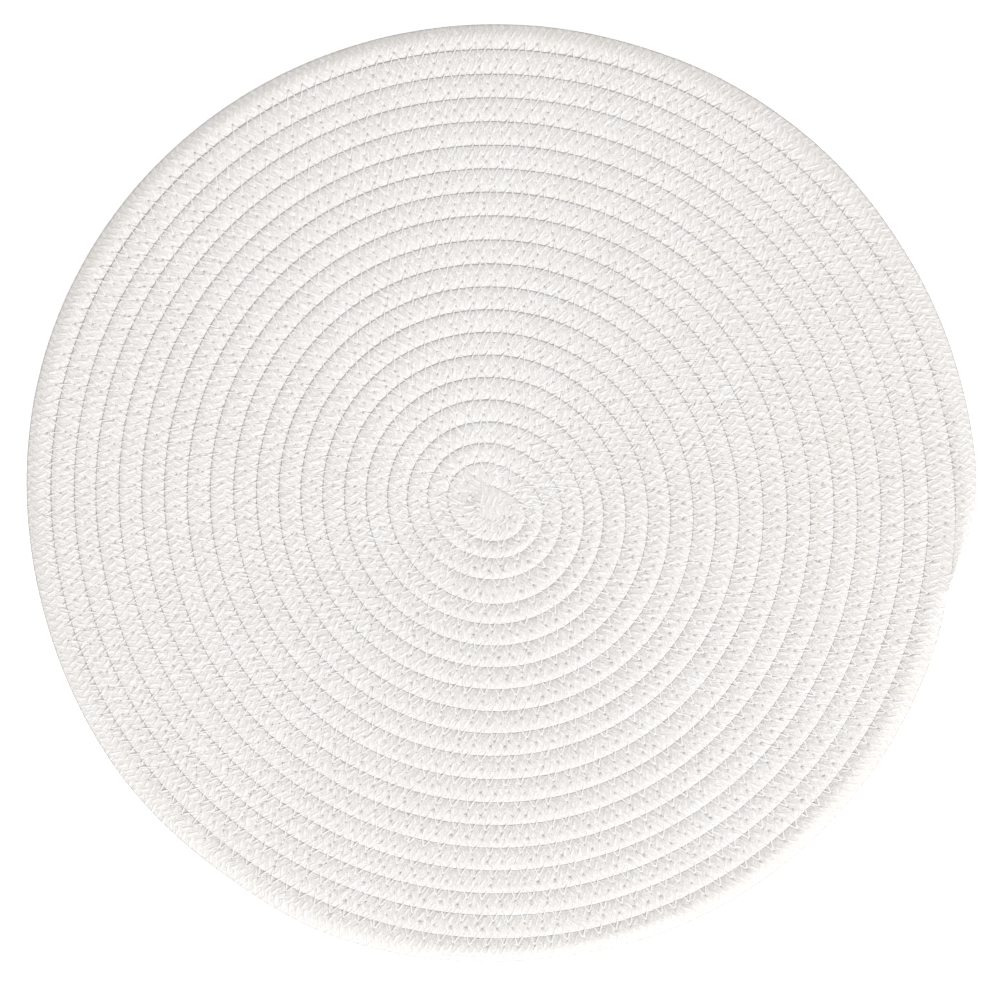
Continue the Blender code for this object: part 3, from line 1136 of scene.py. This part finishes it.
def floor_material():
    material = bpy.data.materials.new("pale_floor")
    g = Graph(material)
    place = g.node("ShaderNodeTexCoord", output="Object")
    shade = g.noise(place, 3.0)
    g.set(Base_Color=g.mix(shade, *FLOOR_TONES), Roughness=0.9)
    g.set(Emission_Color=(1.0, 1.0, 1.0, 1.0), Emission_Strength=FLOOR_GLOW)
    return material


# ---------------------------------------------------------------- operators


class PLACEMAT_OT_stage(bpy.types.Operator):
    """Sets the pale floor, the soft light and the camera straight above the mat"""

    bl_idname = "placemat.stage"
    bl_label = "Set Stage"

    def execute(self, context):
        scene = context.scene
        stage = scene.placemat_stage
        scene.view_settings.view_transform = "Standard"
        bpy.ops.object.select_all(action="DESELECT")
        bpy.ops.mesh.primitive_plane_add(size=FLOOR_SIZE, location=(0.0, 0.0, -FLOOR_DROP))
        floor = context.active_object
        floor.name = "pale_floor"
        floor.data.materials.append(floor_material())
        world = bpy.data.worlds.new("soft_sky")
        world.use_nodes = True
        sky = world.node_tree.nodes["Background"].inputs
        sky["Strength"].default_value = stage.sky_strength
        sky["Color"].default_value = SKY_COLOUR
        scene.world = world
        turn = stage.key_azimuth
        rise = stage.key_height
        source = Vector((math.cos(turn) * math.cos(rise), math.sin(turn) * math.cos(rise), math.sin(rise)))
        bpy.ops.object.light_add(type="AREA", location=source * stage.key_distance)
        key = context.active_object
        key.name = "key_light"
        key.rotation_euler = source.to_track_quat("Z", "Y").to_euler()
        key.data.shape = "DISK"
        key.data.size = stage.key_size
        key.data.color = KEY_COLOUR
        reach = stage.key_distance**2 + (stage.key_size / 2.0) ** 2
        key.data.energy = stage.key_strength * math.pi * reach
        half_angle = math.atan(SENSOR_WIDTH / 2.0 / stage.lens)
        distance = stage.view_width / 2.0 / math.tan(half_angle)
        bpy.ops.object.camera_add(location=(stage.aim_x, stage.aim_y, stage.aim_z + distance))
        camera = context.active_object
        camera.name = "camera_above"
        camera.rotation_euler = (0.0, 0.0, 0.0)
        camera.data.sensor_width = SENSOR_WIDTH
        camera.data.lens = stage.lens
        scene.camera = camera
        return {"FINISHED"}


class PLACEMAT_OT_rope(bpy.types.Operator):
    """Winds the braided rope, from its outer end to its start in the heart of the coil"""

    bl_idname = "placemat.rope"
    bl_label = "Wind Rope"

    def execute(self, context):
        scene = context.scene
        rope, sewing = scene.placemat_rope, scene.placemat_sewing
        material = cotton_material(rope, scene.placemat_finish)
        for piece, turns, run in make_rope(rope, sewing, material):
            width = PITCH * (turns[1] - turns[0])
            (run[1] - run[0]) * ROPE_WIDTH / width
        return {"FINISHED"}


class PLACEMAT_OT_cut_end(bpy.types.Operator):
    """Frays the rope's cut end in the heart of the coil"""

    bl_idname = "placemat.cut_end"
    bl_label = "Fray Cut End"

    def execute(self, context):
        scene = context.scene
        material = thread_material("loose_yarn", scene.placemat_finish.cotton)
        make_cut_end(scene.placemat_rope, material)
        return {"FINISHED"}


class PLACEMAT_OT_thread(bpy.types.Operator):
    """Sews the turns together with a zigzag on the top and the underside"""

    bl_idname = "placemat.thread"
    bl_label = "Sew Turns"

    def execute(self, context):
        scene = context.scene
        material = thread_material("sewing_thread", scene.placemat_finish.thread)
        rope, sewing = scene.placemat_rope, scene.placemat_sewing
        make_thread("zigzag_top", rope, sewing, material, 1)
        make_thread("zigzag_underside", rope, sewing, material, -1)
        return {"FINISHED"}


class PLACEMAT_PT_panel(bpy.types.Panel):
    """Shows the buttons that make the placemat, and its settings"""

    bl_label = "Placemat"
    bl_idname = "PLACEMAT_PT_panel"
    bl_space_type = "VIEW_3D"
    bl_region_type = "UI"
    bl_category = "Placemat"

    def draw(self, context):
        for operator in OPERATORS:
            self.layout.operator(operator.bl_idname)
        for name, group in SETTINGS.items():
            box = self.layout.box()
            box.label(text=group.__doc__)
            for field in group.__annotations__:
                box.prop(getattr(context.scene, name), field)


OPERATORS = (PLACEMAT_OT_stage, PLACEMAT_OT_rope, PLACEMAT_OT_cut_end, PLACEMAT_OT_thread)
CLASSES = (*SETTINGS.values(), *OPERATORS, PLACEMAT_PT_panel)


def register():
    for made in CLASSES:
        bpy.utils.register_class(made)
    for name, group in SETTINGS.items():
        setattr(bpy.types.Scene, name, PointerProperty(type=group))


def unregister():
    for name in SETTINGS:
        delattr(bpy.types.Scene, name)
    for made in reversed(CLASSES):
        bpy.utils.unregister_class(made)


def main():
    register()
    for operator in ("stage", "rope", "cut_end", "thread"):
        getattr(bpy.ops.placemat, operator)()


if __name__ == "__main__":
    main()
